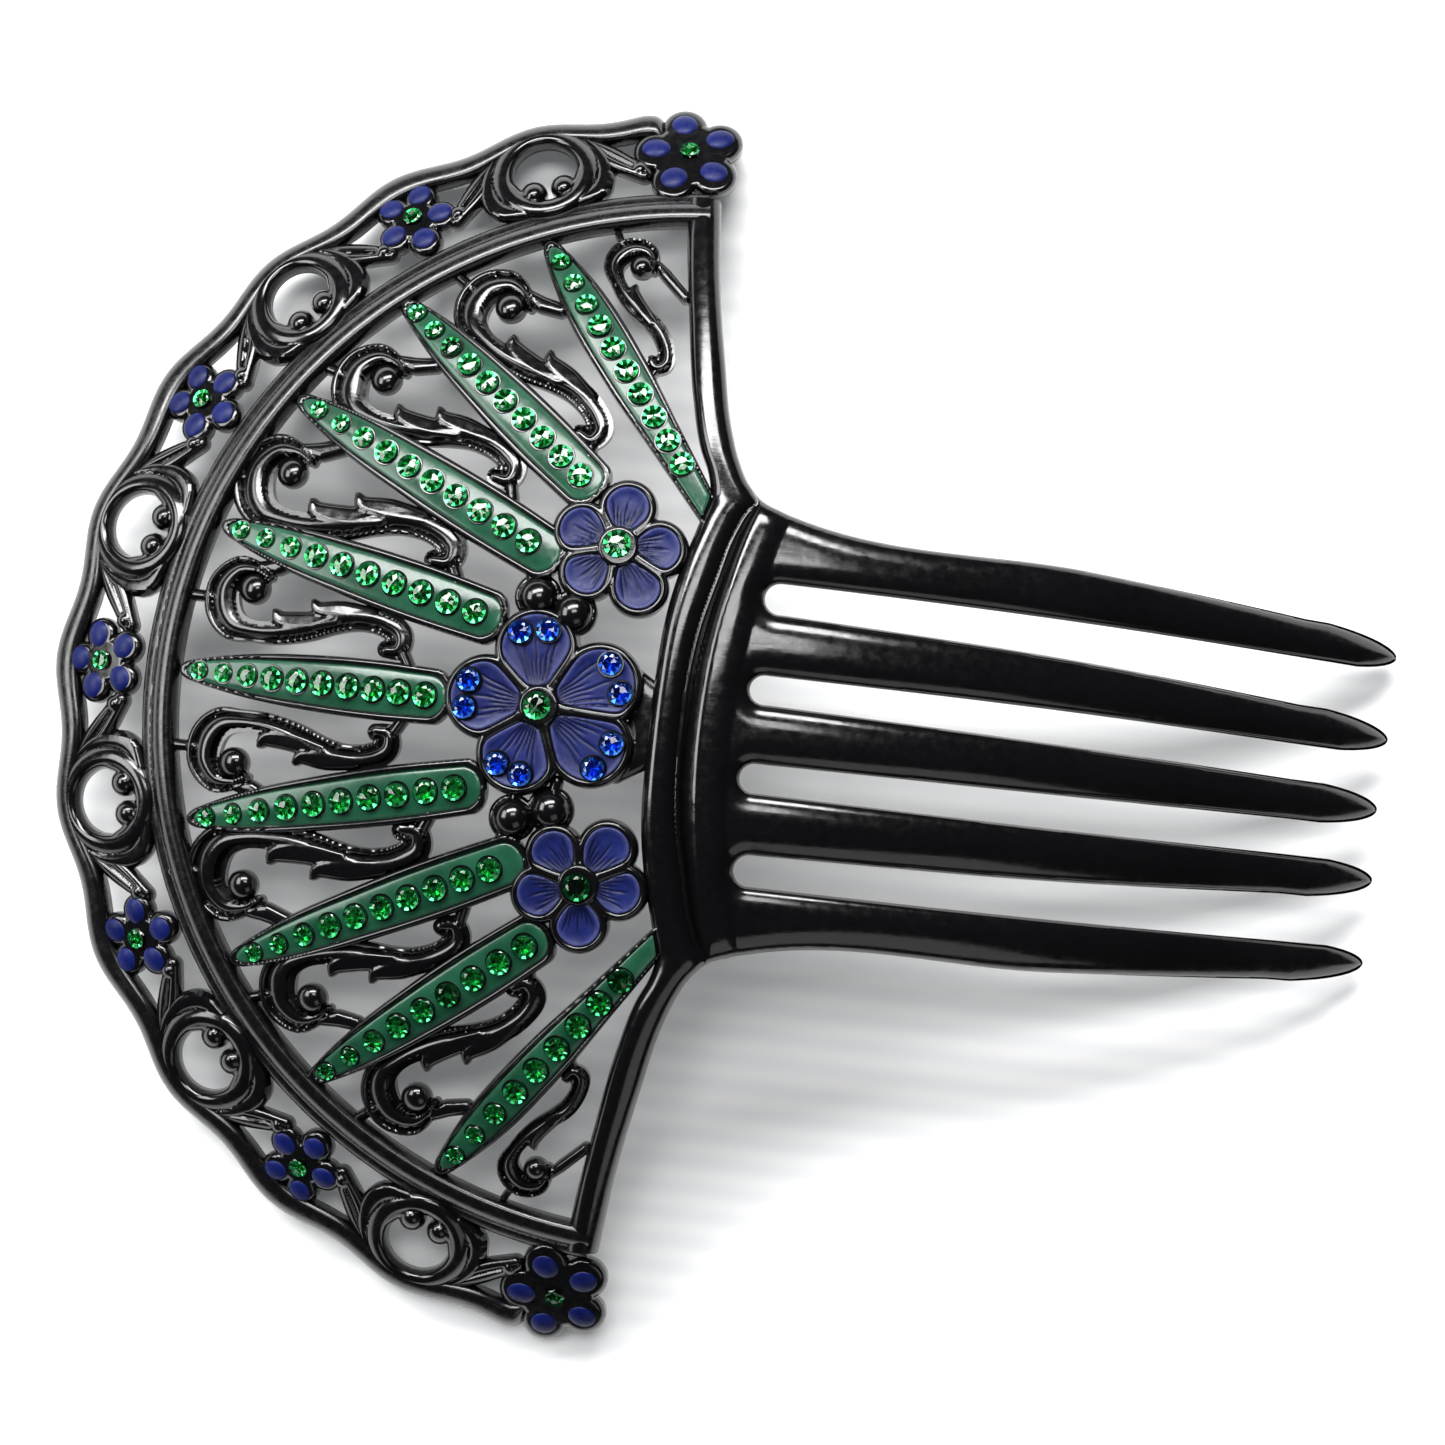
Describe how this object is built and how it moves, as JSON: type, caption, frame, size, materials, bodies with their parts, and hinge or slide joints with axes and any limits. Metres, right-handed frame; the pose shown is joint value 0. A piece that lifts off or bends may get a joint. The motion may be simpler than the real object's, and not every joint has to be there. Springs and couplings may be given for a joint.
{
  "type": "decorative hair comb",
  "caption": "Fan-shaped openwork hair comb with long curved tines, a scalloped border, enamelled rays and flowers, and set stones.",
  "frame": {"origin": "middle of the comb's plan, at the level of the lowest points it rests on, lying face up", "axes": "+X towards the tine tips, +Y across the comb, +Z out of the decorated face"},
  "size_m": [0.1744, 0.1644, 0.0327],
  "materials": {
    "black_celluloid": "polished black celluloid with fine wear scratches",
    "green_enamel": "glossy dark green enamel",
    "violet_enamel": "satin violet-blue enamel rubbed pale at the petal edges",
    "blue_enamel": "glossy ultramarine enamel",
    "green_stone": "faceted foil-backed emerald glass",
    "blue_stone": "faceted foil-backed sapphire glass"
  },
  "bodies": {
    "root": {"arch_rail": "black_celluloid", "beads": "black_celluloid", "blue_stones": "blue_stone", "border_flower_1": "black_celluloid", "border_flower_2": "black_celluloid", "border_flower_3": "black_celluloid", "border_flower_4": "black_celluloid", "border_flower_5": "black_celluloid", "border_flower_6": "black_celluloid", "border_flower_7": "black_celluloid", "border_leaves": "black_celluloid", "border_petals_1": "blue_enamel", "border_petals_2": "blue_enamel", "border_petals_3": "blue_enamel", "border_petals_4": "blue_enamel", "border_petals_5": "blue_enamel", "border_petals_6": "blue_enamel", "border_petals_7": "blue_enamel", "border_rings": "black_celluloid", "centre_flower": "black_celluloid", "centre_flower_enamel": "violet_enamel", "collar_rail": "black_celluloid", "flower_centre_stones": "green_stone", "ray_1": "black_celluloid", "ray_1_enamel": "green_enamel", "ray_1_stones": "green_stone", "ray_2": "black_celluloid", "ray_2_enamel": "green_enamel", "ray_2_stones": "green_stone", "ray_3": "black_celluloid", "ray_3_enamel": "green_enamel", "ray_3_stones": "green_stone", "ray_4": "black_celluloid", "ray_4_enamel": "green_enamel", "ray_4_stones": "green_stone", "ray_5": "black_celluloid", "ray_5_enamel": "green_enamel", "ray_5_stones": "green_stone", "ray_6": "black_celluloid", "ray_6_enamel": "green_enamel", "ray_6_stones": "green_stone", "ray_7": "black_celluloid", "ray_7_enamel": "green_enamel", "ray_7_stones": "green_stone", "ray_8": "black_celluloid", "ray_8_enamel": "green_enamel", "ray_8_stones": "green_stone", "ray_9": "black_celluloid", "ray_9_enamel": "green_enamel", "ray_9_stones": "green_stone", "scalloped_rim": "black_celluloid", "scrolls": "black_celluloid", "side_flower_left": "black_celluloid", "side_flower_left_enamel": "violet_enamel", "side_flower_right": "black_celluloid", "side_flower_right_enamel": "violet_enamel", "side_rail_left": "black_celluloid", "side_rail_right": "black_celluloid", "tine_comb": "black_celluloid"}
  },
  "joints": []
}
